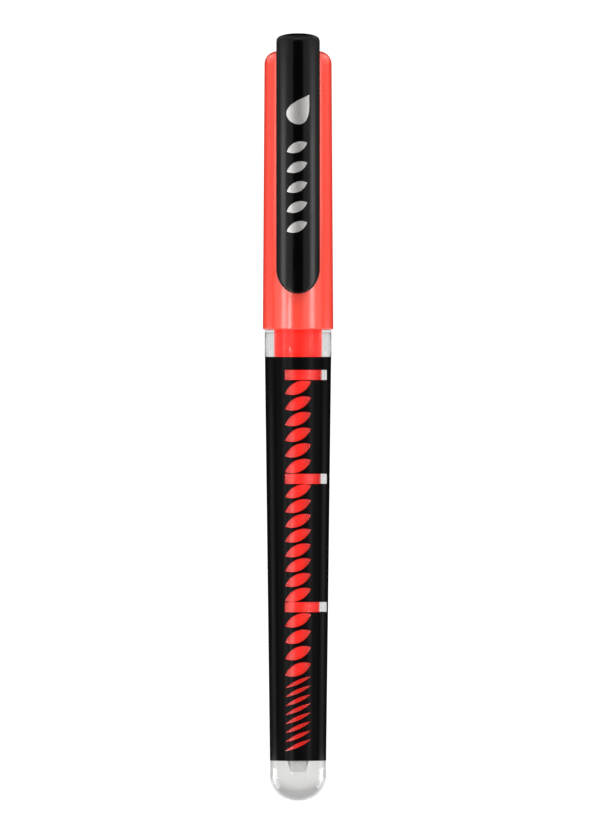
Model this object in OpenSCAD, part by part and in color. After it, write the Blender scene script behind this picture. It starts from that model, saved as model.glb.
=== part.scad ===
// Liquid-ink brush pen, capped, standing along Z with its cap up.
// The origin is on the pen's axis in the plane of the barrel's mouth, just below the cap's lip.
// The clip is on the -Y side.

/* [Barrel] */
// Length from the domed rear end to the mouth
barrel_length = 88.3; // [86:0.1:96]
// Outside diameter of the clear band at the mouth
band_d = 12.6; // [12.5:0.02:12.7]
// Length of the clear band that the printed sleeve leaves bare
band_length = 4.5; // [3.5:0.1:6]
// Outside diameter of the clear rear end
tail_d = 10.44; // [10.3:0.02:10.6]
// Wall thickness of the barrel
barrel_wall = 1; // [0.9:0.05:1.1]

/* [Printed sleeve] */
// Length of the black film sleeve
sleeve_length = 76.2; // [74:0.1:76.2]
// Thickness of the film
film = 0.15; // [0.1:0.01:0.2]

/* [Ink tank] */
// Outside diameter of the inner tank tube near its mouth
tank_d = 9.06; // [8.9:0.02:9.1]
// Wall thickness of the tank tube
tank_wall = 0.5; // [0.4:0.05:0.6]

/* [Front section] */
// Outside diameter of the clear section under the cap
section_d = 10.4; // [10.3:0.02:10.44]
// Height of the section above the barrel's mouth
section_length = 24; // [23.6:0.1:24.4]

/* [Brush] */
// Diameter of the brush where it leaves the nose cone
brush_d = 3.8; // [3.4:0.1:4.2]
// Length of the brush outside the nose cone
brush_length = 11.6; // [9:0.1:11.8]

/* [Cap] */
// Outside diameter at the lip
cap_lip_d = 13.32; // [13.26:0.01:13.4]
// Outside diameter below the rounded shoulder
cap_top_d = 12.69; // [12.64:0.01:12.8]
// Height of the cap's flat top above the barrel's mouth
cap_top_z = 53.25; // [53.2:0.05:54]
// Wall thickness of the cap
cap_wall = 1.15; // [1.1:0.01:1.16]

/* [Clip] */
// Width of the clip and of the crown
clip_w = 8.2; // [7.8:0.02:8.4]
// Height of the clip's free end above the barrel's mouth
clip_tip_z = 7.38; // [6:0.02:10]
// Thickness of the clip
clip_t = 1.5; // [1.4:0.05:1.6]

/* [Hidden] */
$fn = 96;

eps = 0.01;        // lets a cutting shape run past the face that it cuts
fit = 0.05;        // radial clearance between parts that are pressed or slid together
seat_gap = 0.05;   // between faces of different bodies that rest on each other

// Barrel
band_r = band_d / 2;
tail_r = tail_d / 2;
dome_power = 2.25;                     // superellipse exponent of the pen's domed ends
tail_dome_h = 5;
dome_z = -barrel_length + tail_dome_h; // where the rear dome starts
tail_flat_r = 1.3;                     // the small flat at the rear pole
sleeve_top_z = -band_length;
sleeve_end_z = sleeve_top_z - sleeve_length;
sleeve_top_r = band_r - 0.03;          // the sleeve lies a little below the clear band
sleeve_end_r = tail_r + 0.1;           // and stands a little proud of the clear end
spigot_z = -6.8;                       // how far the front section reaches into the barrel
spigot_r = band_r - 1.1;
flange_bevel = 0.12;                   // shows as a fine line where the flange meets the barrel
bore_top_r = spigot_r - 0.15;
bore_end_r = tail_r - barrel_wall;

// Inner tank: draws in towards the rear by its moulding draft
tank_draft = 0.009;
tank_draft_z = -2.3;                   // where tank_d is measured
tank_mouth_z = 3;
tank_end_z = -barrel_length + 9.3;
tank_floor = 0.8;
tank_boss_r = [1.9, 1];                // at the tank's floor and at the boss's end
tank_boss_h = 3.8;
tank_boss_bore_r = [1.3, 0.6];         // the boss is hollow, open at its end
ink_top_z = 0.8;

// Seal, collector and feed
feed_r = 0.95;
feed_bottom_z = -5;
brush_tail_z = 28;
feed_hole_r = feed_r + 0.1;
seal_body_z = ink_top_z + 0.1;
seal_flange_h = 0.9;
comb_z = tank_mouth_z + seal_flange_h + 0.05;
comb_top_z = 20;
comb_core_r = 1.7;
comb_end_h = 1;
fin_t = 0.45;
fin_pitch = 0.94;

// Front section
section_r = section_d / 2;
section_bore_r = 4.45;
tank_seat_r = tank_d / 2 + 0.1;
flange_h = 0.62;
bead_z = 3.1;
bead_r = section_r + 0.22;
bead_h = 1;

// Nose cone
nose_spigot_z = 20.1;
nose_flange_r = 4.95;
nose_flange_h = 0.8;
seal_land_r = 4.2;
seal_land_h = 2.8;
nose_tip_z = 34.3;
nose_tip_r = 2.4;
brush_r = brush_d / 2;
breather_r = 0.35;

// Cap
cap_lip_z = flange_h + seat_gap;
cap_lip_r = cap_lip_d / 2;
cap_top_r = cap_top_d / 2;
shoulder_r = 2.4;                      // rounding between the cap's side and its flat top
lip_round = 0.3;
cap_inner_top_z = cap_top_z - 1.5;
snap_groove_depth = 0.14;
crown_hole_r = 3;
liner_mouth_z = section_length + 1.6;
liner_top_z = cap_inner_top_z - 0.55;
liner_r = 4.95;
liner_seal_r = seal_land_r + 0.08;
liner_bore_r = 4;
liner_press_r = cap_top_r - cap_wall - 0.01;
liner_press_z = liner_top_z - 4;
liner_ribs = 6;

// Crown and clip
clip_half = clip_w / 2;
crown_h = 3.25;
crown_top_z = cap_top_z + crown_h;
crown_dome_h = 1.35;
clip_front_y = -9;
clip_curve_r = 6.9;                    // curvature across the clip's front
clip_curve_y = clip_front_y + clip_curve_r;
clip_bend_r = 2;
clip_tip_h = 4.7;                      // height of the rounded free end
hinge_y = -7;
hinge_z = crown_top_z - 1.75;
knuckle_r = 1.5;
knuckle_gap = 0.1;
split_gap = 0.2;
bump_z = 12.2;
bump_w = 3.2;
bump_r = 1.6;
bump_gap = 0.12;                       // between the clip's bump and the cap

// Sleeve windows: a tapering row of leaf-shaped brush dabs between three ink-level bars
level_z = [-7.9, -27.5, -51.7];
level_h = 1.9;
level_x = [-2.55, 5.55];
level_back_from = [-1.8, -2, -2];      // the same levels again on the +X side, to let light through
level_back_to = 3.1;
dab_length = 5.5;
dab_tilt = 24;
dab_groups = [                         // from z, to z, count, thickness of each dab
    [level_z[0] - level_h / 2, level_z[1] + level_h / 2, 6, 2.2],
    [level_z[1] - level_h / 2, level_z[2] + level_h / 2, 8, 2.1],
    [level_z[2] - level_h / 2, -65, 4, 2.2],
    [-65, -78.6, 8, 0.75]
];

function mix(a, b, t) = a + (b - a) * t;

// Outside radius of the tank tube at height z
function tank_r(z) = tank_d / 2 + (z - tank_draft_z) * tank_draft;

// Inside radius of the cap at height z
function cap_bore_r(z) =
    mix(cap_lip_r, cap_top_r, (z - cap_lip_z) / (cap_top_z - shoulder_r - cap_lip_z)) - cap_wall;

// Points of an arc round [x, y], in steps of about 6 degrees
function arc(x, y, r, from, to) =
    let (n = max(2, ceil(abs(to - from) / 6)))
    [for (i = [0:n]) let (a = mix(from, to, i / n)) [x + r * cos(a), y + r * sin(a)]];

// A superellipse dome of half-width a that rises by h from z, from its +X foot to its -X foot.
// A negative h makes it hang down.
function dome(a, h, z, steps = 28) =
    [for (i = [0:steps])
        let (t = 180 * i / steps, c = cos(t))
        [a * sign(c) * pow(abs(c), 2 / dome_power), z + h * pow(sin(t), 2 / dome_power)]];

// The side of the rear dome, down to the small flat at its pole
function tail_side(r, h) = [for (p = dome(r, -h, dome_z)) if (p[0] > tail_flat_r) p];

// A profile in [radius, z] turned about the pen's axis
module turned(points) {
    rotate_extrude() polygon(points);
}

// A 2D shape in [x, z] run from y = back to y = front
module along_y(back, front) {
    translate([0, back, 0]) rotate([90, 0, 0]) linear_extrude(back - front) children();
}

// A 2D shape in [y, z] run over the clip's width
module along_x(width) {
    rotate([90, 0, 90]) linear_extrude(width, center = true) children();
}

// ---------- barrel and what it holds ----------

module barrel() {
    recess_top_r = sleeve_top_r - film;
    recess_end_r = sleeve_end_r - film;
    color([0.86, 0.86, 0.86, 0.4]) difference() {
        turned(concat(
            [[0, 0], [band_r, 0], [band_r, sleeve_top_z], [recess_top_r, sleeve_top_z],
             [recess_end_r, sleeve_end_z], [tail_r, sleeve_end_z]],
            tail_side(tail_r, tail_dome_h),
            [[tail_flat_r, -barrel_length], [0, -barrel_length]]
        ));
        turned(concat(
            [[0, eps], [spigot_r + fit, eps], [spigot_r + fit, spigot_z], [bore_top_r, spigot_z]],
            tail_side(bore_end_r, tail_dome_h - barrel_wall),
            [[tail_flat_r, barrel_wall - barrel_length], [0, barrel_wall - barrel_length]]
        ));
    }
}

// One leaf-shaped window: the overlap of two circles
module dab(thickness) {
    r = (pow(dab_length, 2) + pow(thickness, 2)) / 4 / thickness;
    rotate(dab_tilt) intersection() {
        translate([0, r - thickness / 2]) circle(r);
        translate([0, -r + thickness / 2]) circle(r);
    }
}

module window_shapes() {
    for (z = level_z)
        translate([level_x[0], z - level_h / 2]) square([level_x[1] - level_x[0], level_h]);
    for (g = dab_groups) {
        pitch = (g[1] - g[0]) / g[2];
        for (i = [0:g[2] - 1])
            translate([0, g[0] + pitch * (i + 0.5)]) dab(g[3]);
    }
}

module printed_sleeve() {
    color([0.04, 0.04, 0.04]) difference() {
        turned([
            [sleeve_top_r - film, sleeve_top_z], [sleeve_top_r, sleeve_top_z],
            [sleeve_end_r, sleeve_end_z], [sleeve_end_r - film, sleeve_end_z]
        ]);
        along_y(0, -band_r - 1) window_shapes();
        for (i = [0:len(level_z) - 1])
            translate([0, level_back_from[i], level_z[i] - level_h / 2])
                cube([band_r + 1, level_back_to - level_back_from[i], level_h]);
    }
}

module ink_tank() {
    inner_end_z = tank_end_z + tank_floor;
    round_r = 1.2;
    color([0.9, 0.9, 0.9, 0.4]) difference() {
        turned(concat(
            [[0, tank_mouth_z], [tank_r(tank_mouth_z), tank_mouth_z]],
            arc(tank_r(tank_end_z) - round_r, tank_end_z + round_r, round_r, 0, -90),
            [[tank_boss_r[0], tank_end_z], [tank_boss_r[1], tank_end_z - tank_boss_h],
             [0, tank_end_z - tank_boss_h]]
        ));
        turned([
            [0, tank_mouth_z + eps], [tank_r(tank_mouth_z) - tank_wall, tank_mouth_z + eps],
            [tank_r(inner_end_z) - tank_wall, inner_end_z], [0, inner_end_z]
        ]);
        turned([
            [0, tank_end_z], [tank_boss_bore_r[0], tank_end_z],
            [tank_boss_bore_r[1], tank_end_z - tank_boss_h - eps], [0, tank_end_z - tank_boss_h - eps]
        ]);
    }
}

module ink_charge() {
    gap = 0.02;
    bottom_z = tank_end_z + tank_floor + gap;
    color([0.95, 0.1, 0.07]) difference() {
        turned([
            [0, ink_top_z], [tank_r(ink_top_z) - tank_wall - gap, ink_top_z],
            [tank_r(bottom_z) - tank_wall - gap, bottom_z], [0, bottom_z]
        ]);
        translate([0, 0, feed_bottom_z - gap])
            cylinder(r = feed_r + gap, h = ink_top_z - feed_bottom_z + 1);
    }
}

module tank_seal() {
    body_r = tank_r(seal_body_z) - tank_wall - 0.02;
    air_hole_r = 0.4;
    color([0.85, 0.85, 0.82]) difference() {
        union() {
            translate([0, 0, seal_body_z])
                cylinder(r = body_r, h = tank_mouth_z - seal_body_z + 2 * eps);
            translate([0, 0, tank_mouth_z + eps])
                cylinder(r = section_bore_r - 0.03, h = seal_flange_h - eps);
        }
        translate([0, 0, seal_body_z - 1]) cylinder(r = feed_hole_r, h = comb_z + 1);
        translate([2.6, 0, seal_body_z - 1]) cylinder(r = air_hole_r, h = comb_z + 1);
    }
}

module front_section() {
    rim_r = 0.3;
    color([0.86, 0.86, 0.86, 0.4]) difference() {
        turned(concat(
            [[0, spigot_z], [spigot_r, spigot_z], [spigot_r, 0], [band_r - flange_bevel, 0],
             [band_r, flange_bevel], [band_r, flange_h - flange_bevel],
             [band_r - flange_bevel, flange_h], [section_r, flange_h],
             [section_r, bead_z - bead_h / 2], [bead_r, bead_z - bead_h / 5],
             [bead_r, bead_z + bead_h / 5], [section_r, bead_z + bead_h / 2]],
            arc(section_r - rim_r, section_length - rim_r, rim_r, 0, 90),
            [[0, section_length]]
        ));
        translate([0, 0, spigot_z - eps])
            cylinder(r = tank_seat_r, h = tank_mouth_z - spigot_z + 2 * eps);
        translate([0, 0, tank_mouth_z])
            cylinder(r = section_bore_r, h = section_length - tank_mouth_z + eps);
    }
}

module collector() {
    fin_r = section_bore_r - 0.05;
    first_z = comb_z + comb_end_h;
    fins = floor((comb_top_z - comb_end_h - first_z) / fin_pitch);
    slot_w = 0.5;
    color([0.93, 0.55, 0.5]) difference() {
        turned(concat(
            [[0, comb_z], [fin_r, comb_z], [fin_r, first_z]],
            [for (i = [0:fins - 1])
                let (z = first_z + i * fin_pitch + (fin_pitch - fin_t))
                each [[comb_core_r, z - (fin_pitch - fin_t)], [comb_core_r, z],
                      [fin_r, z], [fin_r, z + fin_t]]],
            [[comb_core_r, first_z + fins * fin_pitch], [comb_core_r, comb_top_z - comb_end_h],
             [fin_r, comb_top_z - comb_end_h], [fin_r, comb_top_z], [0, comb_top_z]]
        ));
        translate([0, 0, comb_z - 1]) cylinder(r = feed_hole_r, h = comb_top_z);
        translate([-slot_w / 2, -fin_r - 1, comb_z - 1]) cube([slot_w, fin_r + 1, comb_top_z]);
    }
}

module feed_rod() {
    color([0.9, 0.35, 0.3])
        translate([0, 0, feed_bottom_z]) cylinder(r = feed_r, h = brush_tail_z - feed_bottom_z);
}

module nose_cone() {
    land_top_z = section_length + nose_flange_h + seal_land_h;
    tip_round = 0.5;
    color([0.05, 0.05, 0.05]) difference() {
        turned(concat(
            [[0, nose_spigot_z], [section_bore_r - fit, nose_spigot_z],
             [section_bore_r - fit, section_length], [nose_flange_r, section_length],
             [nose_flange_r, section_length + nose_flange_h - 0.2],
             [nose_flange_r - 0.2, section_length + nose_flange_h],
             [seal_land_r, section_length + nose_flange_h], [seal_land_r, land_top_z]],
            arc(nose_tip_r - tip_round, nose_tip_z - tip_round, tip_round, 15, 90),
            [[0, nose_tip_z]]
        ));
        translate([0, 0, nose_spigot_z - 1]) cylinder(r = feed_hole_r, h = brush_tail_z);
        translate([0, 0, brush_tail_z]) cylinder(r = brush_r + 0.03, h = nose_tip_z);
        translate([0, 0, land_top_z + 1.6]) rotate([90, 0, 0]) cylinder(r = breather_r, h = 10);
    }
}

// Radius of the brush at a share t of its free length: full at the root, fine at the point
function brush_profile(t) = brush_r * pow(1 - pow(t, 1.9), 1.15) + 0.06;

module brush_tip() {
    steps = 22;
    color([0.93, 0.2, 0.15]) turned(concat(
        [[0, brush_tail_z], [brush_r, brush_tail_z], [brush_r, nose_tip_z]],
        [for (i = [1:steps]) let (t = i / steps)
            [min(brush_r, brush_profile(t)), nose_tip_z + brush_length * t]],
        [[0, nose_tip_z + brush_length]]
    ));
}

// ---------- cap ----------

module cap_shell() {
    groove_r = cap_bore_r(bead_z) + snap_groove_depth;
    color([0.99, 0.33, 0.27]) difference() {
        turned(concat(
            [[0, cap_lip_z], [cap_lip_r - lip_round, cap_lip_z]],
            arc(cap_lip_r - lip_round, cap_lip_z + lip_round, lip_round, -90, 0),
            arc(cap_top_r - shoulder_r, cap_top_z - shoulder_r, shoulder_r, 0, 90),
            [[0, cap_top_z]]
        ));
        turned([
            [0, cap_lip_z - eps], [cap_bore_r(cap_lip_z) + 0.15, cap_lip_z - eps],
            [cap_bore_r(cap_lip_z), cap_lip_z + 0.3],
            [cap_bore_r(bead_z), bead_z - bead_h], [groove_r, bead_z - bead_h / 2],
            [groove_r, bead_z + bead_h / 2], [cap_bore_r(bead_z), bead_z + bead_h],
            [cap_bore_r(cap_inner_top_z), cap_inner_top_z], [0, cap_inner_top_z]
        ]);
        translate([0, 0, cap_inner_top_z - 1]) cylinder(r = crown_hole_r + 0.02, h = 5);
    }
}

module inner_cap() {
    floor_t = 0.8;
    color([0.93, 0.93, 0.9]) difference() {
        union() {
            turned([
                [0, liner_mouth_z], [liner_r - 0.2, liner_mouth_z], [liner_r, liner_mouth_z + 0.4],
                [liner_r, liner_press_z - 0.5], [liner_press_r - eps, liner_press_z],
                [liner_press_r - eps, liner_top_z - 0.4], [liner_press_r - 0.4, liner_top_z],
                [0, liner_top_z]
            ]);
            for (i = [0:liner_ribs - 1]) rotate(i * 360 / liner_ribs + 30)
                translate([liner_r - 0.3, -0.4, liner_mouth_z + 4])
                    cube([liner_press_r - liner_r + 0.28, 0.8, liner_press_z - liner_mouth_z - 4]);
        }
        turned([
            [0, liner_mouth_z - eps], [liner_seal_r + 0.3, liner_mouth_z - eps],
            [liner_seal_r, liner_mouth_z + 0.4], [liner_seal_r, liner_mouth_z + 2.6],
            [liner_bore_r, liner_mouth_z + 3.4], [liner_bore_r, liner_top_z - floor_t],
            [0, liner_top_z - floor_t]
        ]);
    }
}

// ---------- crown and clip ----------

// The clip's face seen from the front: domed top, straight sides, rounded free end
module clip_face() {
    polygon(concat(
        dome(clip_half, crown_dome_h, crown_top_z - crown_dome_h),
        [for (a = [180:7.5:360])
            [clip_half * cos(a), clip_tip_z + clip_tip_h + clip_tip_h * sin(a)]]
    ));
}

// The crown and clip seen from the side, without the slot for cloth
module crown_side() {
    back = [for (p = dome(clip_half, crown_dome_h, crown_top_z - crown_dome_h)) if (p[0] >= 0) p];
    polygon(concat(
        [[clip_front_y, clip_tip_z - 1], [clip_half, clip_tip_z - 1]], back,
        arc(clip_front_y + clip_bend_r, crown_top_z - clip_bend_r, clip_bend_r, 90, 180)
    ));
}

module crown_and_clip_block() {
    intersection() {
        along_y(clip_half + 1, clip_front_y - 1) clip_face();
        along_x(clip_w + 1) crown_side();
    }
}

module crown() {
    rim_h = 0.4;
    color([0.04, 0.04, 0.04]) {
        difference() {
            intersection() {
                crown_and_clip_block();
                translate([0, 0, cap_top_z]) linear_extrude(crown_h + 1) union() {
                    circle(clip_half);
                    translate([-clip_half, hinge_y + split_gap / 2])
                        square([clip_w, -hinge_y - split_gap / 2]);
                }
            }
            translate([0, hinge_y, hinge_z]) rotate([0, 90, 0])
                cylinder(r = knuckle_r + knuckle_gap, h = clip_w + 2, center = true);
        }
        translate([0, 0, cap_inner_top_z]) cylinder(r = crown_hole_r, h = cap_top_z - cap_inner_top_z);
        translate([0, 0, cap_inner_top_z - rim_h]) cylinder(r = crown_hole_r + 0.2, h = rim_h);
    }
}

module clip_arm() {
    slot_top_z = cap_top_z - 0.1;
    bump_y = -cap_bore_r(bump_z) - cap_wall - bump_gap - bump_r;
    color([0.04, 0.04, 0.04]) {
        difference() {
            intersection() {
                crown_and_clip_block();
                translate([0, clip_curve_y, 0]) cylinder(r = clip_curve_r, h = crown_top_z + 1);
                translate([-clip_w, clip_front_y - 1, 0])
                    cube([2 * clip_w, clip_curve_y - clip_front_y + 1, crown_top_z + 1]);
            }
            translate([0, clip_curve_y, -1]) cylinder(r = clip_curve_r - clip_t, h = slot_top_z + 1);
            translate([-clip_w, hinge_y - split_gap / 2, slot_top_z])
                cube([2 * clip_w, 2 * clip_w, crown_h + 1]);
        }
        intersection() {
            along_y(clip_half, clip_front_y - 1) clip_face();
            translate([0, hinge_y, hinge_z]) rotate([0, 90, 0])
                cylinder(r = knuckle_r, h = clip_w + 1, center = true);
        }
        intersection() {
            translate([0, bump_y, bump_z]) rotate([0, 90, 0])
                cylinder(r = bump_r, h = bump_w, center = true);
            translate([0, clip_curve_y, 0]) cylinder(r = clip_curve_r - clip_t / 2, h = crown_top_z);
        }
    }
}

barrel();
printed_sleeve();
ink_tank();
ink_charge();
tank_seal();
front_section();
collector();
feed_rod();
nose_cone();
brush_tip();
cap_shell();
inner_cap();
crown();
clip_arm();
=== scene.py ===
import math

import bmesh
import bpy
import numpy as np
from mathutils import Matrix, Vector
from mathutils.geometry import delaunay_2d_cdt


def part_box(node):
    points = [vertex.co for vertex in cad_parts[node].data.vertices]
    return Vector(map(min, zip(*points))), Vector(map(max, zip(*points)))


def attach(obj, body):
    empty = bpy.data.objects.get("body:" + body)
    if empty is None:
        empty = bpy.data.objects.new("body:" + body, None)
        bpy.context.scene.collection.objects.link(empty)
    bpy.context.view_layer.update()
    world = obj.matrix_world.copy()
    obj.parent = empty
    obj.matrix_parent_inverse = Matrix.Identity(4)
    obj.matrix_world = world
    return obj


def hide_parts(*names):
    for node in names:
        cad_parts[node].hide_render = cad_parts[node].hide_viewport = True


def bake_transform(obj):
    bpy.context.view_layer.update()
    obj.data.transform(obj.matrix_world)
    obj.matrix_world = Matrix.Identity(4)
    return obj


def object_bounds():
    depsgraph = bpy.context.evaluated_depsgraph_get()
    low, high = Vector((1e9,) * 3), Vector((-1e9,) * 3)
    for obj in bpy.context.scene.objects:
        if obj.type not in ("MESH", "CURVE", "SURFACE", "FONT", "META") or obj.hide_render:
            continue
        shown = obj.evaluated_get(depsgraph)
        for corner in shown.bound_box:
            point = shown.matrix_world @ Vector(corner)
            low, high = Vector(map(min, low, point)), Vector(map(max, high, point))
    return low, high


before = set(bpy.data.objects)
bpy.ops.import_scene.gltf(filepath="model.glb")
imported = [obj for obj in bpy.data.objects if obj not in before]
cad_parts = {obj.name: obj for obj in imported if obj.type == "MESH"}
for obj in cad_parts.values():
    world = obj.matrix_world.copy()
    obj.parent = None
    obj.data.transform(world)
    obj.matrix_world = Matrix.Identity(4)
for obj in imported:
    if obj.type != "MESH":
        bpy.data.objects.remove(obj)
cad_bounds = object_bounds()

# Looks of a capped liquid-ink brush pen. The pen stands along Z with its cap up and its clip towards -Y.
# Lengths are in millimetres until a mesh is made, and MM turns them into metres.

MM = 0.001


# ---------------------------------------------------------------- sizes read from the frame

def low(node):
    """A CAD node's lowest corner, in millimetres."""
    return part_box(node)[0] / MM


def high(node):
    """A CAD node's highest corner, in millimetres."""
    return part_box(node)[1] / MM


def radius_at(node, z):
    """A CAD node's outside radius at height z, in millimetres: the furthest place where one of its edges
    passes z."""
    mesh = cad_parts[node].data
    points = np.array([v.co for v in mesh.vertices]) / MM
    ends = points[np.array([e.vertices for e in mesh.edges])]
    a, b = ends[:, 0], ends[:, 1]
    reach, level = 0.02, 1e-6
    crosses = (np.minimum(a[:, 2], b[:, 2]) < z + reach) & (np.maximum(a[:, 2], b[:, 2]) > z - reach)
    a, b = a[crosses], b[crosses]
    rise = b[:, 2] - a[:, 2]
    share = np.divide(z - a[:, 2], rise, out=np.zeros(len(rise)), where=np.abs(rise) > level)
    share = np.clip(share, 0, 1)
    there = a + (b - a) * share[:, None]
    return float(np.hypot(there[:, 0], there[:, 1]).max())


mouth_z = high("barrel").z
tail_z = low("barrel").z
sleeve_top = high("printed_sleeve").z
sleeve_end = low("printed_sleeve").z
band_r = high("barrel").x
tail_r = radius_at("barrel", sleeve_end)
film_top_r = radius_at("printed_sleeve", sleeve_top)
film_end_r = radius_at("printed_sleeve", sleeve_end)
film_thickness = 0.15

tank_top = high("ink_tank").z
tank_low = low("ink_tank").z
tank_top_r = radius_at("ink_tank", tank_top)
tank_wall = 0.5
tank_boss_h = 3.8
tank_floor_z = tank_low + tank_boss_h
tank_floor_round = 1.2
tank_floor_r = radius_at("ink_tank", tank_floor_z + tank_floor_round)
ink_top = high("ink_charge").z

section_top = high("front_section").z
spigot_z = low("front_section").z
section_r = radius_at("front_section", section_top - 5)   # above the snap bead
spigot_r = radius_at("front_section", spigot_z)
flange_h = 0.62
section_bore_r = 4.45
bead_z = 3.1                # height of the snap bead, and of its groove in the cap

nose_low = low("nose_cone").z
nose_top = high("nose_cone").z
nose_flange_r = high("nose_cone").x
brush_top = high("brush_tip").z
brush_r = high("brush_tip").x
brush_socket = 5            # depth of the nose cone's hole for the brush
brush_fit = 0.03

cap_lip = low("cap_shell").z
cap_top = high("cap_shell").z
cap_lip_r = high("cap_shell").x
cap_shoulder = 2.4
cap_top_r = radius_at("cap_shell", cap_top - cap_shoulder)
cap_wall = 1.15

crown_top = high("crown").z
crown_back = high("crown").y
clip_front = low("clip_arm").y
clip_tip = low("clip_arm").z
clip_half = high("clip_arm").x


def film_radius(z):
    """The sleeve's outside radius at height z."""
    share = (sleeve_top - z) / (sleeve_top - sleeve_end)
    return film_top_r + (film_end_r - film_top_r) * share


# ---------------------------------------------------------------- mesh tools

ROUNDNESS = 2.25            # exponent of the superellipses, 2 being an ellipse


def dome(a, h, z, power=ROUNDNESS, steps=24):
    """A superellipse from [a, z] to [0, z + h]."""
    turns = [math.pi / 2 * i / steps for i in range(steps + 1)]
    return [(a * max(math.cos(t), 0) ** (2 / power), z + h * math.sin(t) ** (2 / power)) for t in turns]


def rounded(corners, steps=5):
    """An outline whose corners (r, z, radius) are rounded, each by its own radius."""
    out = []
    count = len(corners)
    for i, corner in enumerate(corners):
        here = np.array(corner[:2], float)
        radius = corner[2] if len(corner) > 2 else 0
        before = np.array(corners[i - 1][:2], float) - here
        after = np.array(corners[(i + 1) % count][:2], float) - here
        if radius == 0:
            out.append(tuple(here))
            continue
        one, two = before / np.linalg.norm(before), after / np.linalg.norm(after)
        half = math.acos(float(np.clip(one @ two, -1, 1))) / 2
        middle = (one + two) / np.linalg.norm(one + two)
        centre = here + middle * radius / math.sin(half)
        start = here + one * radius / math.tan(half) - centre
        end = here + two * radius / math.tan(half) - centre
        sweep = math.atan2(start[0] * end[1] - start[1] * end[0], start @ end)
        for k in range(steps + 1):
            turn = sweep * k / steps
            c, s = math.cos(turn), math.sin(turn)
            out.append((centre[0] + start[0] * c - start[1] * s, centre[1] + start[0] * s + start[1] * c))
    return out


def finish_mesh(name, verts, faces, material, sharp=35):
    """Makes an object from points in millimetres, with normals outwards and smooth shading."""
    mesh = bpy.data.meshes.new(name)
    mesh.from_pydata([tuple(MM * c for c in v) for v in verts], [], faces)
    work = bmesh.new()
    work.from_mesh(mesh)
    bmesh.ops.remove_doubles(work, verts=work.verts, dist=1e-7)
    bmesh.ops.recalc_face_normals(work, faces=work.faces)
    work.to_mesh(mesh)
    work.free()
    mesh.shade_smooth()
    mesh.set_sharp_from_angle(angle=math.radians(sharp))
    mesh.materials.append(material)
    piece = bpy.data.objects.new(name, mesh)
    bpy.context.scene.collection.objects.link(piece)
    return piece


def lathe(name, outline, material, segments=160, sharp=35):
    """Turns an outline of (radius, z) about the pen's axis. The outline is closed, along the axis if it
    meets it."""
    verts, faces, rings = [], [], []
    on_axis = 1e-4
    for r, z in outline:
        if r < on_axis:
            rings.append([len(verts)] * segments)
            verts.append((0, 0, z))
        else:
            rings.append(list(range(len(verts), len(verts) + segments)))
            turns = [2 * math.pi * k / segments for k in range(segments)]
            verts += [(r * math.cos(t), r * math.sin(t), z) for t in turns]
    for i, ring in enumerate(rings):
        other = rings[(i + 1) % len(rings)]
        for k in range(segments):
            n = (k + 1) % segments
            corners = list(dict.fromkeys([ring[k], ring[n], other[n], other[k]]))
            if len(corners) > 2:
                faces.append(corners)
    return finish_mesh(name, verts, faces, material, sharp)


def finished_by_height(piece, *stretches):
    """Gives stretches of a piece (low_z, high_z, least radius, material) their own materials. A stretch
    takes the faces whose middles lie between the two heights and beyond the radius."""
    for low_z, high_z, least_r, material in stretches:
        if material.name not in piece.data.materials:
            piece.data.materials.append(material)
        slot = piece.data.materials.find(material.name)
        for face in piece.data.polygons:
            radius = math.hypot(face.center.x, face.center.y) / MM
            if low_z < face.center.z / MM < high_z and radius > least_r:
                face.material_index = slot
    return piece


def divided(corners, spacing):
    """A closed outline with points added along its sides, about this far apart."""
    ring = []
    for (x1, y1), (x2, y2) in zip(corners, corners[1:] + corners[:1]):
        parts = max(1, round(math.dist((x1, y1), (x2, y2)) / spacing))
        ring += [(x1 + (x2 - x1) * i / parts, y1 + (y2 - y1) * i / parts) for i in range(parts)]
    return ring


def leaf(length, thickness, steps):
    """A leaf-shaped outline, the overlap of two arcs, lying along X."""
    r = (length ** 2 + thickness ** 2) / 4 / thickness
    reach = math.asin(length / 2 / r)
    turns = [reach * (1 - 2 * i / steps) for i in range(steps)]
    side = [(r * math.sin(t), r * math.cos(t) - r + thickness / 2) for t in turns]
    return side + [(-x, -y) for x, y in side]


def turned(outline, tilt, centre):
    """An outline turned by tilt and moved to centre."""
    c, s = math.cos(tilt), math.sin(tilt)
    return [(centre[0] + x * c - y * s, centre[1] + x * s + y * c) for x, y in outline]


def inside(points, rings):
    """For each point, whether it lies inside an odd number of the rings."""
    odd = np.zeros(len(points), bool)
    x, y = points[:, 0], points[:, 1]
    for ring in rings:
        a = np.array(ring)
        for (x1, y1), (x2, y2) in zip(a, np.roll(a, -1, axis=0)):
            if y1 != y2:
                crosses = ((y1 > y) != (y2 > y)) & (x < (x2 - x1) * (y - y1) / (y2 - y1) + x1)
                odd ^= crosses
    return odd


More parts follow.
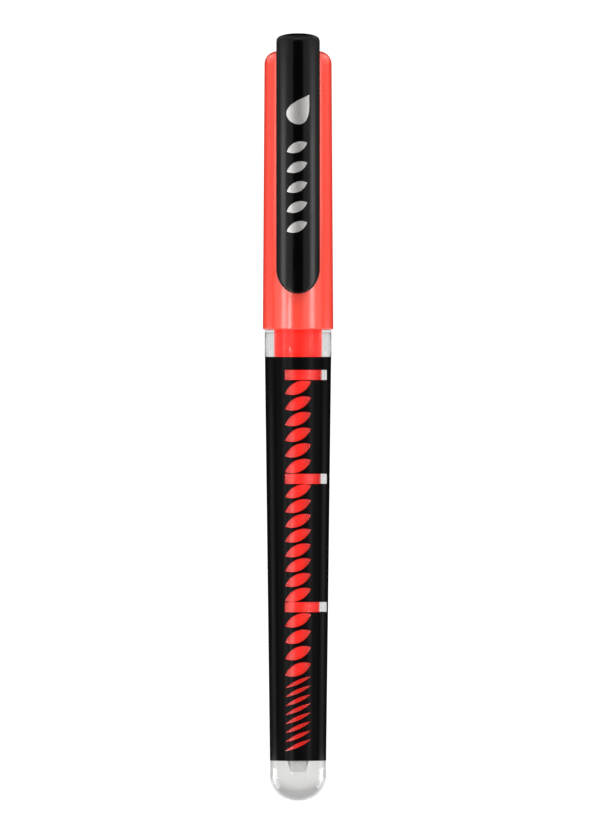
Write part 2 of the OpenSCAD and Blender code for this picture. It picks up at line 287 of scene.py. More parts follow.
def wrapped_sheet(name, rings, place, thickness, step, material):
    """A thin sheet bounded by flat rings and laid on a surface. place(u, v, depth) gives a point and the
    normal there."""
    corners = np.concatenate([np.array(r) for r in rings])
    (u0, v0), (u1, v1) = corners.min(0), corners.max(0)
    grid_u, grid_v = np.meshgrid(
        np.linspace(u0, u1, max(3, round((u1 - u0) / step[0]) + 1))[1:-1],
        np.linspace(v0, v1, max(3, round((v1 - v0) / step[1]) + 1))[1:-1],
    )
    grid = np.column_stack([grid_u.ravel(), grid_v.ravel()])
    edges, first = [], 0
    for ring in rings:
        edges += [(first + i, first + (i + 1) % len(ring)) for i in range(len(ring))]
        first += len(ring)
    flat = [Vector(p) for p in corners] + [Vector(p) for p in grid]
    flat, _, triangles, _, _, _ = delaunay_2d_cdt(flat, edges, [], 0, 1e-4)
    flat = np.array([tuple(p) for p in flat])
    triangles = [t for t in triangles if len(t) == 3]
    middles = np.array([flat[list(t)].mean(0) for t in triangles])
    triangles = [t for t, keep in zip(triangles, inside(middles, rings)) if keep]

    outer = [place(u, v, 0)[0] for u, v in flat]
    inner = [place(u, v, thickness)[0] for u, v in flat]
    count = len(flat)
    used = {}
    for a, b, c in triangles:
        for edge in ((a, b), (b, c), (c, a)):
            key = tuple(sorted(edge))
            used[key] = None if key in used else edge
    rims = [edge for edge in used.values() if edge]
    faces = [tuple(t) for t in triangles]
    faces += [tuple(i + count for i in reversed(t)) for t in triangles]
    faces += [(b, a, a + count, b + count) for a, b in rims]

    mesh = bpy.data.meshes.new(name)
    mesh.from_pydata([tuple(MM * c for c in p) for p in outer + inner], [], faces)
    mesh.shade_smooth()
    facing = np.array([place(u, v, 0)[1] for u, v in flat])
    first_normal = np.cross(
        np.subtract(outer[triangles[0][1]], outer[triangles[0][0]]),
        np.subtract(outer[triangles[0][2]], outer[triangles[0][0]]),
    )
    if first_normal @ facing[triangles[0][0]] < 0:
        mesh.flip_normals()
    normals = []
    for polygon in mesh.polygons:
        on_rim = polygon.index >= 2 * len(triangles)
        side = -1 if polygon.index >= len(triangles) else 1
        for loop in polygon.loop_indices:
            vertex = mesh.loops[loop].vertex_index % count
            normals.append(tuple(polygon.normal) if on_rim else tuple(side * facing[vertex]))
    mesh.normals_split_custom_set(normals)
    work = bmesh.new()
    work.from_mesh(mesh)
    loose = [v for v in work.verts if not v.link_faces]
    bmesh.ops.delete(work, geom=loose, context="VERTS")
    work.to_mesh(mesh)
    work.free()
    mesh.materials.append(material)
    piece = bpy.data.objects.new(name, mesh)
    bpy.context.scene.collection.objects.link(piece)
    return piece


# ---------------------------------------------------------------- materials

def map_range(nodes, from_low, from_high, to_low, to_high):
    """A Map Range node from one range to another."""
    ranged = nodes.new("ShaderNodeMapRange")
    ranged.inputs["From Min"].default_value = from_low
    ranged.inputs["From Max"].default_value = from_high
    ranged.inputs["To Min"].default_value = to_low
    ranged.inputs["To Max"].default_value = to_high
    return ranged


class Finish:
    """A Principled material with procedural roughness and bump. Its textures use the piece's own
    coordinates, and their sizes are in millimetres."""

    NOISE_LOW, NOISE_HIGH = 0.3, 0.7   # noise seldom goes past these values

    def __init__(self, name, colour, roughness, **sockets):
        self.material = bpy.data.materials.new(name)
        self.material.use_nodes = True
        self.nodes = self.material.node_tree.nodes
        self.links = self.material.node_tree.links
        self.shader = self.nodes["Principled BSDF"]
        self.shader.inputs["Base Color"].default_value = (*colour, 1)
        self.shader.inputs["Roughness"].default_value = roughness
        for socket, value in sockets.items():
            self.shader.inputs[socket.replace("_", " ")].default_value = value
        self.colour = colour
        self.roughness = roughness
        self.place = self.nodes.new("ShaderNodeTexCoord").outputs["Object"]

    def stretched(self, scale):
        """Coordinates scaled along X, Y and Z."""
        mapping = self.nodes.new("ShaderNodeMapping")
        mapping.inputs["Scale"].default_value = scale
        self.links.new(self.place, mapping.inputs["Vector"])
        return mapping.outputs["Vector"]

    def noise(self, size, stretch=(1, 1, 1), detail=3):
        """Noise whose features are about size millimetres across."""
        noise = self.nodes.new("ShaderNodeTexNoise")
        noise.inputs["Scale"].default_value = 1 / (size * MM)
        noise.inputs["Detail"].default_value = detail
        self.links.new(self.stretched(stretch), noise.inputs["Vector"])
        return noise.outputs["Fac"]

    def spread(self, value, low_end, high_end):
        """Maps a noise value onto a range."""
        ranged = map_range(self.nodes, self.NOISE_LOW, self.NOISE_HIGH, low_end, high_end)
        self.links.new(value, ranged.inputs["Value"])
        return ranged.outputs["Result"]

    def mottle_roughness(self, size, spread, stretch=(1, 1, 1)):
        """Varies the roughness by spread either way."""
        value = self.spread(self.noise(size, stretch), self.roughness - spread, self.roughness + spread)
        self.links.new(value, self.shader.inputs["Roughness"])
        return self

    def mottle_colour(self, size, other, amount, stretch=(1, 1, 1)):
        """Drifts the colour towards another by up to amount."""
        mix = self.nodes.new("ShaderNodeMix")
        mix.data_type = "RGBA"
        mix.inputs["A"].default_value = (*self.colour, 1)
        mix.inputs["B"].default_value = (*other, 1)
        self.links.new(self.spread(self.noise(size, stretch), 0, amount), mix.inputs["Factor"])
        self.links.new(mix.outputs["Result"], self.shader.inputs["Base Color"])
        return self

    def grain(self, size, height, strength=1.0, stretch=(1, 1, 1), detail=3):
        """Adds a bump of height millimetres."""
        bump = self.nodes.new("ShaderNodeBump")
        bump.inputs["Distance"].default_value = height * MM
        bump.inputs["Strength"].default_value = strength
        self.links.new(self.noise(size, stretch, detail), bump.inputs["Height"])
        self.links.new(bump.outputs["Normal"], self.shader.inputs["Normal"])
        return self


def coral_plastic():
    """Glossy coral cap: even colour, a trace of moulding texture."""
    finish = Finish("coral_plastic", (0.985, 0.067, 0.039), 0.19, Specular_IOR_Level=0.5)
    finish.mottle_colour(9, (0.95, 0.061, 0.036), 0.4)
    finish.mottle_roughness(2.5, 0.03)
    return finish.grain(2.5, 0.004, 0.04).material


def clip_plastic():
    """Glossy black clip and crown."""
    finish = Finish("gloss_black_plastic", (0.0012, 0.0012, 0.0012), 0.16, Specular_IOR_Level=0.13)
    finish.mottle_roughness(2.0, 0.035, (1, 1, 0.4))
    return finish.grain(1.0, 0.004, 0.12).material


def nose_plastic():
    """Satin black nose cone."""
    finish = Finish("black_plastic", (0.012, 0.012, 0.012), 0.38, Specular_IOR_Level=0.4)
    finish.mottle_roughness(1.2, 0.06)
    return finish.grain(0.25, 0.006, 0.35).material


def sleeve_film():
    """Satin black printed film with faint stretch lines along its length."""
    finish = Finish("black_film", (0.003, 0.0028, 0.0028), 0.21, Specular_IOR_Level=0.022)
    finish.mottle_roughness(1.6, 0.05, (1, 1, 0.12))
    return finish.grain(0.8, 0.005, 0.2, (1, 1, 0.1)).material


def clear_plastic(name, gloss, ior, roughness=0.02, tint=(0.995, 0.995, 0.99), polish=(0.0, 0.13)):
    """Clear moulded plastic with slight flow marks. Light for what is behind it passes straight through.
    Gloss scales its mirror-like reflection. The polish is a second, softer one: its weight and roughness."""
    finish = Finish(
        name, tint, roughness, Transmission_Weight=1.0, IOR=ior, Specular_Tint=(gloss, gloss, gloss, 1),
        Coat_Weight=polish[0], Coat_Roughness=polish[1],
    )
    finish.grain(3.0, 0.006, 0.15, (1, 1, 0.3))
    light_path = finish.nodes.new("ShaderNodeLightPath")
    either = finish.nodes.new("ShaderNodeMath")
    either.operation = "MAXIMUM"
    open_way = finish.nodes.new("ShaderNodeBsdfTransparent")
    open_way.inputs["Color"].default_value = (*tint, 1)
    mix = finish.nodes.new("ShaderNodeMixShader")
    finish.links.new(light_path.outputs["Is Shadow Ray"], either.inputs[0])
    finish.links.new(light_path.outputs["Is Diffuse Ray"], either.inputs[1])
    finish.links.new(either.outputs["Value"], mix.inputs["Fac"])
    finish.links.new(finish.shader.outputs["BSDF"], mix.inputs[1])
    finish.links.new(open_way.outputs["BSDF"], mix.inputs[2])
    finish.links.new(mix.outputs["Shader"], finish.nodes["Material Output"].inputs["Surface"])
    return finish.material


def ink():
    """Coral-red ink, wetting the inside of its tank. Its emission is a painted glow that brightens it behind
    the clear parts.
    """
    colour = (0.98, 0.014, 0.007)
    # the emission is a painted glow: it lights the ink where the clear parts leave it dim
    finish = Finish(
        "ink", colour, 0.3, Specular_IOR_Level=0.1, Emission_Color=(*colour, 1), Emission_Strength=0.42
    )
    finish.mottle_colour(6, (0.95, 0.012, 0.006), 0.4, (1, 1, 0.3))
    return finish.material


def soft_plastic(name, colour, roughness=0.45):
    """Natural, slightly milky plastic of the small inner parts."""
    finish = Finish(name, colour, roughness, Subsurface_Weight=0.15, Subsurface_Scale=0.4 * MM)
    finish.mottle_roughness(0.8, 0.06)
    return finish.grain(0.3, 0.006, 0.25).material


def fibre(name, colour, other, size, height):
    """Fibres that run along the pen, stained by ink."""
    finish = Finish(name, colour, 0.75, Sheen_Weight=0.25, Sheen_Roughness=0.4)
    finish.mottle_colour(size, other, 1.0, (1, 1, 0.06))
    return finish.grain(size * 0.6, height, 0.8, (1, 1, 0.04), 5).material


def foil():
    """Silver foil print, brushed very finely."""
    finish = Finish("silver_foil", (0.335, 0.325, 0.318), 0.39, Metallic=0.76)
    finish.mottle_colour(1.5, (0.283, 0.274, 0.269), 0.8, (1, 0.2, 1))
    finish.mottle_roughness(0.5, 0.08)
    return finish.grain(0.25, 0.004, 0.3).material


CLEAR = clear_plastic("clear_plastic", 0.12, 1.49)
INNER_CLEAR = clear_plastic("section_plastic", 0.04, 1.4)
FITTED_CLEAR = clear_plastic("section_plastic_fitted", 0.02, 1.06)
COVERED_CLEAR = clear_plastic("barrel_plastic_covered", 0.02, 1.06, polish=(0.33, 0.3))
COVERED_BORE = clear_plastic("barrel_plastic_bore", 0.0, 1.06)
FLANGE_CLEAR = clear_plastic("section_plastic_flange", 0.02, 1.06, polish=(0.16, 0.13))
# the seam band's grey tint is painted shade: a dark line where the section meets the barrel's mouth
SEAM_CLEAR = clear_plastic("section_plastic_seam", 0.02, 1.06, 0.1, (0.55, 0.55, 0.545))
TANK = clear_plastic("tank_plastic", 0.02, 1.06, 0.03)
TANK_END = clear_plastic("tank_plastic_frosted", 0.02, 1.2, 0.4, (0.89, 0.89, 0.885))
FILM = sleeve_film()
INK = ink()
CORAL = coral_plastic()
BLACK = clip_plastic()
NOSE = nose_plastic()
FOIL = foil()
LINER = soft_plastic("liner_plastic", (0.84, 0.84, 0.82))
SEAL = soft_plastic("seal_plastic", (0.80, 0.78, 0.76))
COMB = soft_plastic("collector_plastic", (0.92, 0.36, 0.3))
FEED = fibre("feed_fibre", (0.85, 0.1, 0.06), (0.9, 0.25, 0.18), 0.12, 0.02)
BRUSH = fibre("brush_fibre", (0.92, 0.07, 0.045), (0.95, 0.3, 0.22), 0.16, 0.03)


# ---------------------------------------------------------------- barrel and what shows through it

FIT = 0.05                  # clearance round a piece that fits in another


def make_barrel():
    """The clear barrel: recessed for the film, bored out for the section, and domed with a small flat."""
    wall = 1.0
    ledge = 0.15            # how much narrower the bore is below the section
    dome_h = 5
    flat_r = 1.3
    recess_top, recess_end = film_top_r - film_thickness, film_end_r - film_thickness
    outside = recess_end - 0.1
    outer_end = [p for p in dome(tail_r, -dome_h, tail_z + dome_h, steps=30) if p[0] > flat_r]
    inner_end = [p for p in dome(tail_r - wall, wall - dome_h, tail_z + dome_h, steps=30) if p[0] > flat_r]
    step = rounded([
        (spigot_r + FIT, mouth_z),
        (band_r, mouth_z, 0.06),
        (band_r, sleeve_top, 0.04),
        (recess_top, sleeve_top),
        (recess_end, sleeve_end),
        (tail_r, sleeve_end, 0.03),
        (tail_r, tail_z + dome_h + 1),
    ])
    bore = [(spigot_r - ledge, spigot_z), (spigot_r + FIT, spigot_z)]
    outline = step[:-1] + outer_end + [(flat_r * 0.8, tail_z), (0, tail_z), (0, tail_z + wall)]
    outline += [(flat_r * 0.8, tail_z + wall)] + inner_end[::-1] + bore
    return finished_by_height(
        lathe("barrel_shell", outline, CLEAR),
        (sleeve_end, sleeve_top, 0, COVERED_BORE),
        (sleeve_end, sleeve_top, outside, COVERED_CLEAR),
    )


TANK_FLOOR = 0.3            # thinner than the CAD's, so that the ink fills the last window


def make_tank():
    """The ink's tube. Its frosted floor is milky inside and carries a hollow boss."""
    inner_r = tank_floor_r - tank_wall
    floor_middle, floor_top = tank_floor_z + TANK_FLOOR / 2, tank_floor_z + TANK_FLOOR
    boss_r, boss_end_r = 1.9, 1.0
    hollow_r, hollow_end_r = 1.3, 0.6
    outline = rounded([
        (tank_top_r - tank_wall, tank_top),
        (tank_top_r, tank_top, 0.1),
        (tank_floor_r, tank_floor_z, tank_floor_round),
        (boss_r, tank_floor_z, 0.3),
        (boss_end_r, tank_low, 0.15),
        (hollow_end_r, tank_low, 0.1),
        (hollow_r, tank_floor_z, 0.2),
        (0, tank_floor_z),
        (0, floor_top),
        (inner_r, floor_top, 0.6),
    ])
    tube = lathe("tank_tube", outline, TANK, segments=128)
    return finished_by_height(
        tube,
        (tank_low - 1, floor_middle, 0, TANK_END),
        (floor_middle, floor_top + 0.01, 0, SEAL),
    )


def make_ink():
    """The ink, as wide as it looks through the tank's wall. It climbs the wall a little at its surface."""
    wet = 0.36              # how far it runs into the wall
    gap = 0.02
    climb, curl, steps = 0.35, 0.28, 6
    bottom = tank_floor_z + TANK_FLOOR + gap
    top_r = tank_top_r - tank_wall + wet
    end_r = tank_floor_r - tank_wall + wet
    meniscus = [
        (top_r * (1 - curl * i / steps), ink_top + climb * (1 - i / steps) ** 3) for i in range(steps + 1)
    ]
    outline = [(0, bottom)] + rounded([
        (0.5, bottom),
        (end_r, bottom, 0.6),
        (top_r, ink_top + climb),
    ])[1:] + meniscus[1:] + [(0, ink_top)]
    return lathe("ink_column", outline, INK, segments=128)


def make_section():
    """The clear front section: spigot, flange, snap bead and the tube that holds the collector."""
    bead_h, bead_half, bead_run = 0.22, 0.1, 0.6
    seam_low, seam_high = mouth_z + 0.001, mouth_z + 0.12
    outline = rounded([
        (section_bore_r, section_top, 0.12),
        (section_bore_r, tank_top, 0.05),
        (tank_top_r + FIT, tank_top),
        (tank_top_r + FIT, spigot_z, 0.1),
        (spigot_r, spigot_z, 0.15),
        (spigot_r, mouth_z),
        (band_r, mouth_z, 0.12),
        (band_r, mouth_z + flange_h, 0.12),
        (section_r, mouth_z + flange_h, 0.1),
        (section_r, bead_z - bead_run, 0.3),
        (section_r + bead_h, bead_z - bead_half, 0.2),
        (section_r + bead_h, bead_z + bead_half, 0.2),
        (section_r, bead_z + bead_run, 0.3),
        (section_r, section_top, 0.3),
    ])
    return finished_by_height(
        lathe("section_housing", outline, INNER_CLEAR),
        (spigot_z - 1, mouth_z + flange_h + 0.05, 0, FITTED_CLEAR),
        (mouth_z, mouth_z + flange_h, section_r, FLANGE_CLEAR),
        # the seam band: a thin stretch tinted grey as painted shade along the joint
        (seam_low, seam_high, 0, SEAM_CLEAR),
    )


def make_nose_cone():
    """The brush's holder: a plug in the section, a collar, a land for the cap's liner, and a cone."""
    collar_h, land_h, land_r = 0.8, 2.8, 4.2
    tip_r = 2.4
    land_z = section_top + collar_h
    outline = rounded([
        (0, nose_low),
        (section_bore_r - FIT, nose_low, 0.3),
        (section_bore_r - FIT, section_top),
        (nose_flange_r, section_top, 0.08),
        (nose_flange_r, land_z, 0.25),
        (land_r, land_z, 0.2),
        (land_r, land_z + land_h, 0.35),
        (tip_r, nose_top, 0.4),
        (brush_r + brush_fit, nose_top, 0.12),
        (brush_r + brush_fit, nose_top - brush_socket),
        (0, nose_top - brush_socket),
    ])
    return lathe("nose_cone_body", outline, NOSE, segments=128)


def make_brush():
    """A fibre brush: full at the root, drawn to a point, with the grooves that its fibres leave."""
    rng = np.random.default_rng(11)
    segments, steps = 180, 46
    groove_depth, twist, point_r = 0.022, 0.35, 0.05
    root = nose_top - (brush_socket - 0.1)
    length = brush_top - nose_top
    groove = rng.uniform(-1, 1, segments)
    groove = groove - 0.5 * (np.roll(groove, 1) + np.roll(groove, -1))
    verts, faces = [], []
    heights = [root] + [nose_top + length * (i / steps) for i in range(steps)]
    for z in heights:
        share = max(0, (z - nose_top) / length)
        r = min(brush_r, brush_r * (1 - share ** 1.9) ** 1.15 + point_r)
        depth = groove_depth * (0.4 + 0.6 * min(1, 4 * share)) * min(1, r)
        for k in range(segments):
            turn = 2 * math.pi * k / segments + twist * share
            radius = r - depth * (1 + groove[k])
            verts.append((radius * math.cos(turn), radius * math.sin(turn), z))
    verts += [(0, 0, root), (0, 0, brush_top)]
    for i in range(len(heights) - 1):
        for k in range(segments):
            n = (k + 1) % segments
            a, b = i * segments, (i + 1) * segments
            faces.append((a + k, a + n, b + n, b + k))
    last = (len(heights) - 1) * segments
    for k in range(segments):
        n = (k + 1) % segments
        faces.append((len(verts) - 2, n, k))
        faces.append((last + k, last + n, len(verts) - 1))
    return finish_mesh("brush_fibres", verts, faces, BRUSH, sharp=80)


# ---------------------------------------------------------------- printed sleeve

SLEEVE_R = (film_top_r + film_end_r) / 2
LAP = 1.2                                              # how far the film laps over its own edge
LAP_RISE = 0.9                                         # the stretch in which it climbs onto it
FILM_GAP = 0.01                                        # keeps two films, or film and barrel, apart
LEVELS = [sleeve_top - d for d in (3.4, 23.0, 47.2)]   # heights of the three level bars
LEVEL_H = 1.9
LEVEL_X = (-2.55, 5.55)                                # as seen from the front
LEVEL_BACK_Y = (0.25, 4.4)                             # the far side's windows, as seen from +X
FINE_FROM = sleeve_top - 60.5                          # where the dabs turn fine
FINE_TO = sleeve_top - 74.1
DAB_LENGTH = 5.5
DAB_TILT = math.radians(24)


def at_front(x, z):
    """Where a point seen from the front lies on the unrolled sleeve."""
    return SLEEVE_R * math.asin(x / film_radius(z)), z


def at_side(y, z):
    """Where a point seen from +X lies on the unrolled sleeve."""
    return SLEEVE_R * math.acos(-y / film_radius(z)), z


def bar(low_end, high_end, z, unroll):
    """A level bar with slightly rounded corners."""
    half, corner_r, spacing = LEVEL_H / 2, 0.12, 0.4
    corners = [(low_end, z - half), (high_end, z - half), (high_end, z + half), (low_end, z + half)]
    outline = rounded([(*corner, corner_r) for corner in corners], steps=3)
    return [unroll(*point) for point in divided(outline, spacing)]


def dab(z, thickness):
    """A leaf-shaped dab of the brush."""
    return [at_front(*point) for point in turned(leaf(DAB_LENGTH, thickness, 16), DAB_TILT, (0, z))]


def window_rings():
    """The windows' outlines on the unrolled sleeve: level bars in front and on the far side, and dabs."""
    rings = [bar(*LEVEL_X, z, at_front) for z in LEVELS]
    rings += [bar(*LEVEL_BACK_Y, z, at_side) for z in LEVELS]
    half = LEVEL_H / 2
    groups = [              # from, to, how many dabs, and how thick each is
        (LEVELS[0] - half, LEVELS[1] + half, 6, 2.2),
        (LEVELS[1] - half, LEVELS[2] + half, 8, 2.1),
        (LEVELS[2] - half, FINE_FROM, 4, 2.2),
        (FINE_FROM, FINE_TO, 8, 0.75),
    ]
    for start, end, count, thickness in groups:
        pitch = (end - start) / count
        rings += [dab(start + pitch * (i + 0.5), thickness) for i in range(count)]
    return rings


def on_sleeve(u, z, depth):
    """A point of the sleeve and its normal. Past the back the film laps over its own edge."""
    turn = u / SLEEVE_R
    lap_start = math.pi * SLEEVE_R - LAP_RISE
    lift = min(1, max(0, (u - lap_start) / LAP_RISE))
    r = film_radius(z) - depth + (film_thickness + FILM_GAP) * lift * lift * (3 - 2 * lift)
    taper = (film_top_r - film_end_r) / (sleeve_top - sleeve_end)
    normal = np.array([math.sin(turn), -math.cos(turn), -taper])
    return (r * math.sin(turn), -r * math.cos(turn), z), normal / np.linalg.norm(normal)


def make_sleeve():
    """The film: one sheet wrapped round the barrel from its back, with the windows cut out."""
    around, along = 0.45, 1.2
    left, right = -math.pi * SLEEVE_R, math.pi * SLEEVE_R + LAP
    corners = [(left, sleeve_end), (right, sleeve_end), (right, sleeve_top), (left, sleeve_top)]
    rings = [divided(corners, around)] + window_rings()
    return wrapped_sheet("sleeve_film", rings, on_sleeve, film_thickness - FILM_GAP, (around, along), FILM)


# ---------------------------------------------------------------- cap

def make_cap():
    """The coral cap: a tapering tube with a round shoulder, a hole under the crown and a bead's groove."""
    lip_round = 0.3
    inner_top = cap_top - 1.5
    draft = (cap_lip_r - cap_top_r) / (cap_top - cap_shoulder - cap_lip)
    hole_r = 3.02
    groove, groove_half, groove_run = 0.14, 0.5, 1

    def bore(z):
        return cap_lip_r - draft * (z - cap_lip) - cap_wall

    outline = rounded([
        (bore(cap_lip) + 0.1, cap_lip, 0.1),
        (cap_lip_r, cap_lip, lip_round),
        (cap_top_r - draft * cap_shoulder, cap_top, cap_shoulder),
        (hole_r, cap_top, 0.1),
        (hole_r, inner_top, 0.1),
        (bore(inner_top), inner_top, 0.5),
        (bore(bead_z + groove_run), bead_z + groove_run, 0.2),
        (bore(bead_z) + groove, bead_z + groove_half, 0.2),
        (bore(bead_z) + groove, bead_z - groove_half, 0.2),
        (bore(bead_z - groove_run), bead_z - groove_run, 0.2),
    ], steps=10)
    return lathe("cap_body", outline, CORAL, segments=200)


# ---------------------------------------------------------------- crown and clip, one moulding

BEND_R = 2.0                # the bend from the crown into the arm
CURVE_R = 6.9               # across the clip's front
CLIP_T = 1.5
DOME_H = 1.35               # how much higher the crown's middle is than its edges
TIP_H = 4.7                 # height of the rounded free end
INNER_FILLET = 0.6
EDGE = 0.3                  # rounding of the outer edges
INNER_EDGE = 0.2
BUMP = (12.2, 1.7, 0.78)    # height, half length and rise of the contact bump
LAST_TURN = 88.5            # degrees: a rounded end stops just short of a point, and is capped there


def clip_back(x):
    """The arm's inner face, parallel to its front."""
    return clip_front + CURVE_R - math.sqrt((CURVE_R - CLIP_T) ** 2 - x * x)


def rolled(distance, radius):
    """How far a surface drops when it is this far inside an edge rounded by radius."""
    if distance >= radius:
        return 0.0
    return radius - math.sqrt(max(0.0, radius ** 2 - (radius - distance) ** 2))


def across_crown(x):
    """How far the crown's top drops from its middle to x."""
    return DOME_H * (max(0.0, 1 - abs(x / clip_half) ** ROUNDNESS) ** (1 / ROUNDNESS) - 1)


def across_arm(x):
    """How far the arm's front drops back from its middle to x."""
    return math.sqrt(CURVE_R ** 2 - x * x) - CURVE_R


def clip_loop(half, outer_base, outward, blend, inner_point, edge_distance, count=44):
    """One closed loop round the clip: its outer face from -X to +X, and its inner face back again."""
    xs = [half * math.sin(math.pi * (i / (count - 1) - 0.5)) for i in range(count)]
    outer, inner = [], []
    for x in xs:
        rise = across_crown(x) * (1 - blend) + across_arm(x) * blend
        away = edge_distance(x)
        rise -= rolled(away, EDGE)
        front = Vector((x, outer_base[0], outer_base[1])) + outward * rise
        back = Vector((x, *inner_point(x)))
        back += (front - back).normalized() * rolled(away, INNER_EDGE)
        outer.append(tuple(front))
        inner.append(tuple(back))
    return outer + inner[::-1]


def crown_loops():
    """Loops from the crown's round back to the bend."""
    up = Vector((0, 0, 1))
    under = cap_top
    ahead = clip_front + BEND_R
    round_steps, straight_steps = 16, 7

    def loop(y, half, reach):
        def bottom(x):
            return max(y, clip_back(x) + INNER_FILLET), under
        return clip_loop(half, (y, crown_top), up, 0, bottom, lambda x: clip_half - reach(x))

    loops = []
    for i in range(round_steps):
        turn = math.radians(LAST_TURN * (1 - i / round_steps))
        y = crown_back * math.sin(turn)
        loops.append(loop(y, clip_half * math.cos(turn), lambda x, y=y: math.hypot(x, y)))
    loops += [loop(ahead * i / straight_steps, clip_half, abs) for i in range(straight_steps)]
    return loops


def bend_loops():
    """Loops round the bend from the crown to the arm."""
    centre = (clip_front + BEND_R, crown_top - BEND_R)
    steps = 14
    loops = []
    for i in range(steps):
        turn = math.pi / 2 * i / steps
        outward = Vector((0, -math.sin(turn), math.cos(turn)))
        base = (centre[0] + BEND_R * outward.y, centre[1] + BEND_R * outward.z)
        share = i / steps

        def under(x, out=outward):
            middle = (clip_back(x) + INNER_FILLET, cap_top - INNER_FILLET)
            return middle[0] + INNER_FILLET * out.y, middle[1] + INNER_FILLET * out.z

        blend = share * share * (3 - 2 * share)
        loops.append(clip_loop(clip_half, base, outward, blend, under, lambda x: clip_half - abs(x)))
    return loops


def arm_loops():
    """Loops from the bend to the free end, closer together past the contact bump and round the tip."""
    forward = Vector((0, -1, 0))
    fine_from = 16
    tip_start = clip_tip + TIP_H
    tip_steps = 18

    def loop(z):
        below = max(0.0, (tip_start - z) / TIP_H)
        half = clip_half * math.sqrt(1 - below ** 2)

        def back(x):
            bump_z, bump_half, bump_rise = BUMP
            near = max(0.0, 1 - ((z - bump_z) / bump_half) ** 2) * max(0.0, 1 - (x / bump_half) ** 2)
            return clip_back(x) + bump_rise * near ** 1.5, min(z, cap_top - INNER_FILLET)

        def reach(x):
            return clip_half * (1 - math.hypot(x / clip_half, below))

        return clip_loop(half, (clip_front, z), forward, 1, back, reach)

    straight = np.linspace(crown_top - BEND_R, fine_from, 40)
    fine = np.linspace(fine_from, tip_start, 14)[1:]
    turns = [math.radians(LAST_TURN * i / tip_steps) for i in range(1, tip_steps + 1)]
    tip = [tip_start - TIP_H * math.sin(turn) for turn in turns]
    return [loop(float(z)) for z in (*straight, *fine, *tip)]


def make_clip():
    """The crown and the arm in one skin, closed at both ends."""
    loops = crown_loops() + bend_loops() + arm_loops()
    count = len(loops[0])
    verts = [p for loop in loops for p in loop]
    faces = [tuple(range(count)), tuple(reversed(range(len(verts) - count, len(verts))))]
    for i in range(len(loops) - 1):
        a, b = i * count, (i + 1) * count
        faces += [(a + k, a + (k + 1) % count, b + (k + 1) % count, b + k) for k in range(count)]
    return finish_mesh("clip_and_crown", verts, faces, BLACK, sharp=60)


# ---------------------------------------------------------------- foil print on the clip

def on_clip(x, z, depth):
    """A point just above the clip's front, and the normal there."""
    proud = 0.02
    r = CURVE_R + proud - depth
    turn = math.asin(x / CURVE_R)
    normal = np.array([math.sin(turn), -math.cos(turn), 0.0])
    middle = clip_front + CURVE_R
    return (r * normal[0], middle + r * normal[1], z), normal


def drop(height, width, steps=36):
    """An ink drop: round below and pointed above."""
    pointed, fullness = 1.4, 1.25
    ring = []
    for i in range(steps):
        t = 2 * math.pi * i / steps
        x = width / 2 * math.sin(t) * math.sin(t / 2) ** pointed * fullness
        ring.append((x, height / 2 * math.cos(t)))
    return ring


def make_foil():
    """The clip's print: a drop over a row of small leaves."""
    thickness, spacing = 0.03, 0.5
    drop_tilt, leaf_tilt = math.radians(-32), math.radians(24)
    leaves = 5
    first, last = clip_tip + 27.6, clip_tip + 12.6
    rings = [turned(drop(6.2, 4.6), drop_tilt, (0.5, clip_tip + 34.9))]
    for i in range(leaves):
        z = first + (last - first) * i / (leaves - 1)
        rings.append(turned(leaf(4.2, 1.9, 12), leaf_tilt, (-0.2, z)))
    return wrapped_sheet("clip_foil", rings, on_clip, thickness, (spacing, spacing), FOIL)


# ---------------------------------------------------------------- pieces on their bodies

def put(piece, body, slot, *nodes):
    """Fixes a piece to its body, in place of the CAD nodes that it replaces."""
    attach(piece, body)
    if nodes:
        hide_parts(*nodes)


put(make_barrel(), "barrel", "clear_plastic", "barrel")
put(make_sleeve(), "barrel", "black_film", "printed_sleeve")
put(make_tank(), "barrel", "tank_plastic", "ink_tank")
put(make_ink(), "barrel", "ink", "ink_charge")
put(make_section(), "barrel", "clear_plastic", "front_section")
put(make_nose_cone(), "barrel", "black_plastic", "nose_cone")
put(make_brush(), "barrel", "brush_fibre", "brush_tip")
put(make_cap(), "cap", "coral_plastic", "cap_shell")
put(make_foil(), "clip", "silver_foil")

clip = make_clip()
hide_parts("crown", "clip_arm")
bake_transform(clip)

kept_nodes = {"tank_seal": SEAL, "collector": COMB, "feed_rod": FEED, "inner_cap": LINER}
for node, material in kept_nodes.items():
    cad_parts[node].data.materials.clear()
    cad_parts[node].data.materials.append(material)


# ---------------------------------------------------------------- stage, lights and camera

def make_floor():
    """A plain pale floor, below the view from the front."""
    half, drop_below = 0.6, 0.042
    floor_z = cad_bounds[0][2] - drop_below
    mesh = bpy.data.meshes.new("floor")
    corners = [(x * half, y * half, floor_z) for x, y in ((-1, -1), (1, -1), (1, 1), (-1, 1))]
    mesh.from_pydata(corners, [], [(0, 1, 2, 3)])
    finish = Finish("floor", (0.93, 0.93, 0.93), 0.8, Specular_IOR_Level=0.1)
    mesh.materials.append(finish.mottle_roughness(30, 0.05).material)
    floor = bpy.data.objects.new("floor", mesh)
    floor.visible_transmission = False
    bpy.context.scene.collection.objects.link(floor)


def softbox(name, azimuth, elevation, width, height, radiance, distance=0.8, aim_z=0.0):
    """A panel that only shows as a reflection. Azimuth 0 is on the clip's side, and it turns towards +X."""
    light = bpy.data.lights.new(name, "AREA")
    light.shape = "RECTANGLE"
    light.size, light.size_y = width, height
    light.energy = radiance * math.pi * width * height
    panel = bpy.data.objects.new(name, light)
    turn, tilt = math.radians(azimuth), math.radians(elevation)
    way = Vector((math.sin(turn) * math.cos(tilt), -math.cos(turn) * math.cos(tilt), math.sin(tilt)))
    panel.location = way * distance + Vector((0, 0, aim_z))
    panel.rotation_euler = way.to_track_quat("Z", "Y").to_euler()
    panel.visible_camera = False
    panel.visible_diffuse = False
    panel.visible_transmission = False
    bpy.context.scene.collection.objects.link(panel)


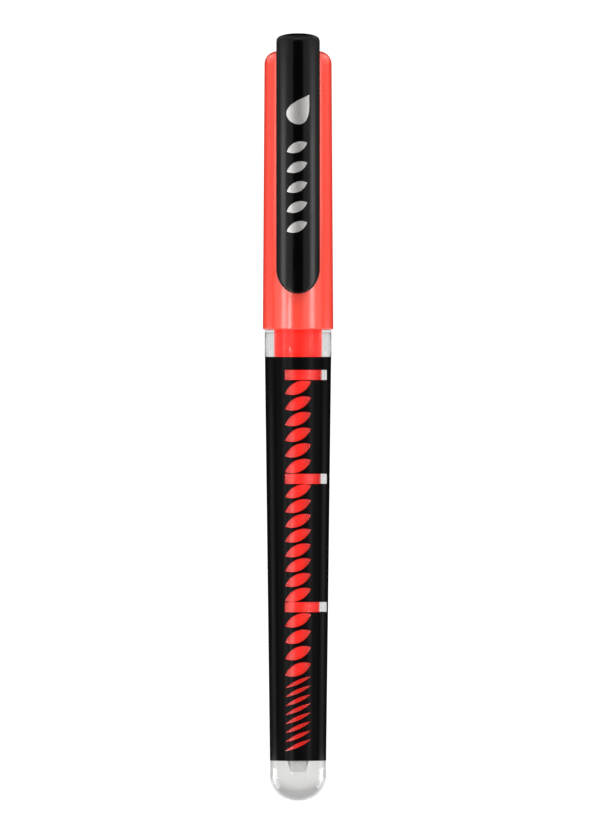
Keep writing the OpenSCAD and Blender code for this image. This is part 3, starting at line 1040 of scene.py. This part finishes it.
def make_lights():
    """Panels for the highlights. Those that stand close light only a stretch of the pen's height."""
    tail_light_z = tail_z * MM - 0.0075
    for side in (-1, 1):
        # the wide highlights, their brighter middles, and the film's narrow ones
        softbox(f"panel_{side}", side * 49, 0, 1.02, 1.5, 1.5)
        softbox(f"band_{side}", side * 47, 0, 0.36, 1.5, 0.9, distance=0.79)
        softbox(f"core_{side}", side * 46.5, 0, 0.06, 0.26, 6.8, distance=0.25, aim_z=-0.081)
        softbox(f"upper_{side}", side * 49, 62, 0.9, 0.5, 1.2)
        # the outer edges of the cap, and of the film
        softbox(f"edge_{side}", side * 84, 0, 0.04, 0.17, 3.0, distance=0.3, aim_z=0.105)
        softbox(f"side_{side}", side * 112, 0, 0.6, 1.5, 0.33, distance=0.9)
        softbox(f"film_{side}", side * 108, 0, 0.11, 0.18, 2.1, distance=0.3, aim_z=-0.105)
        # the cap's shoulder and rim, from behind
        softbox(f"rim_{side}", side * 142, 26, 0.4, 0.28, 0.6)
        softbox(f"shoulder_{side}", side * 108, 22, 0.9, 0.35, 0.6)
        softbox(f"over_shoulder_{side}", side * 112, 48, 1.0, 0.5, 1.2)
        # the glints on the domed end
        softbox(f"tail_{side}", side * 107, 0, 0.022, 0.028, 7.0, distance=0.04, aim_z=tail_light_z)
    softbox("overhead", 0, 80, 0.9, 0.9, 0.6)
    # the pale stripe in the sleeve's windows
    softbox("window", -27, 0, 0.05, 0.19, 16.0, distance=0.3, aim_z=-0.102)


def make_world():
    """Even white light all round. Glossy surfaces don't mirror it. Clear parts show it as pale grey, and as
    a darker grey where they bend the view steeply up or down."""
    white, pale, grey = 1.12, 0.73, 0.42
    level, steep = 0.03, 0.4
    world = bpy.data.worlds.new("studio")
    bpy.context.scene.world = world
    world.use_nodes = True
    nodes, links = world.node_tree.nodes, world.node_tree.links
    nodes["Background"].inputs["Color"].default_value = (1, 1, 1, 1)
    around = nodes.new("ShaderNodeSeparateXYZ")
    steepness = nodes.new("ShaderNodeMath")
    steepness.operation = "ABSOLUTE"
    through = map_range(nodes, level, steep, pale, grey)
    through.interpolation_type = "SMOOTHSTEP"
    light_path = nodes.new("ShaderNodeLightPath")
    strength = map_range(nodes, 0, 1, white, pale)
    links.new(nodes.new("ShaderNodeTexCoord").outputs["Generated"], around.inputs["Vector"])
    links.new(around.outputs["Z"], steepness.inputs[0])
    links.new(steepness.outputs["Value"], through.inputs["Value"])
    links.new(through.outputs["Result"], strength.inputs["To Max"])
    links.new(light_path.outputs["Is Transmission Ray"], strength.inputs["Value"])
    links.new(strength.outputs["Result"], nodes["Background"].inputs["Strength"])
    world.cycles_visibility.glossy = False


def make_camera():
    """Straight at the clip side, from far away, as the pen's parallel edges ask for."""
    fill = 0.91244                           # share of the picture's height that the pen takes
    aim_x, aim_dz = 0.368 * MM, -0.5 * MM    # from the axis, and from the pen's mid height
    distance, sensor, far = 3.0, 36.0, 20
    lowest, highest = Vector(cad_bounds[0]), Vector(cad_bounds[1])
    camera = bpy.data.objects.new("camera", bpy.data.cameras.new("camera"))
    camera.data.sensor_fit = "VERTICAL"
    camera.data.sensor_height = sensor
    camera.data.lens = sensor * distance * fill / (highest.z - lowest.z)
    camera.data.clip_end = far
    camera.location = (aim_x, -distance, (lowest.z + highest.z) / 2 + aim_dz)
    camera.rotation_euler = (math.pi / 2, 0, 0)
    bpy.context.scene.collection.objects.link(camera)
    bpy.context.scene.camera = camera


make_floor()
make_lights()
make_world()
make_camera()
bpy.context.scene.view_settings.view_transform = "Standard"
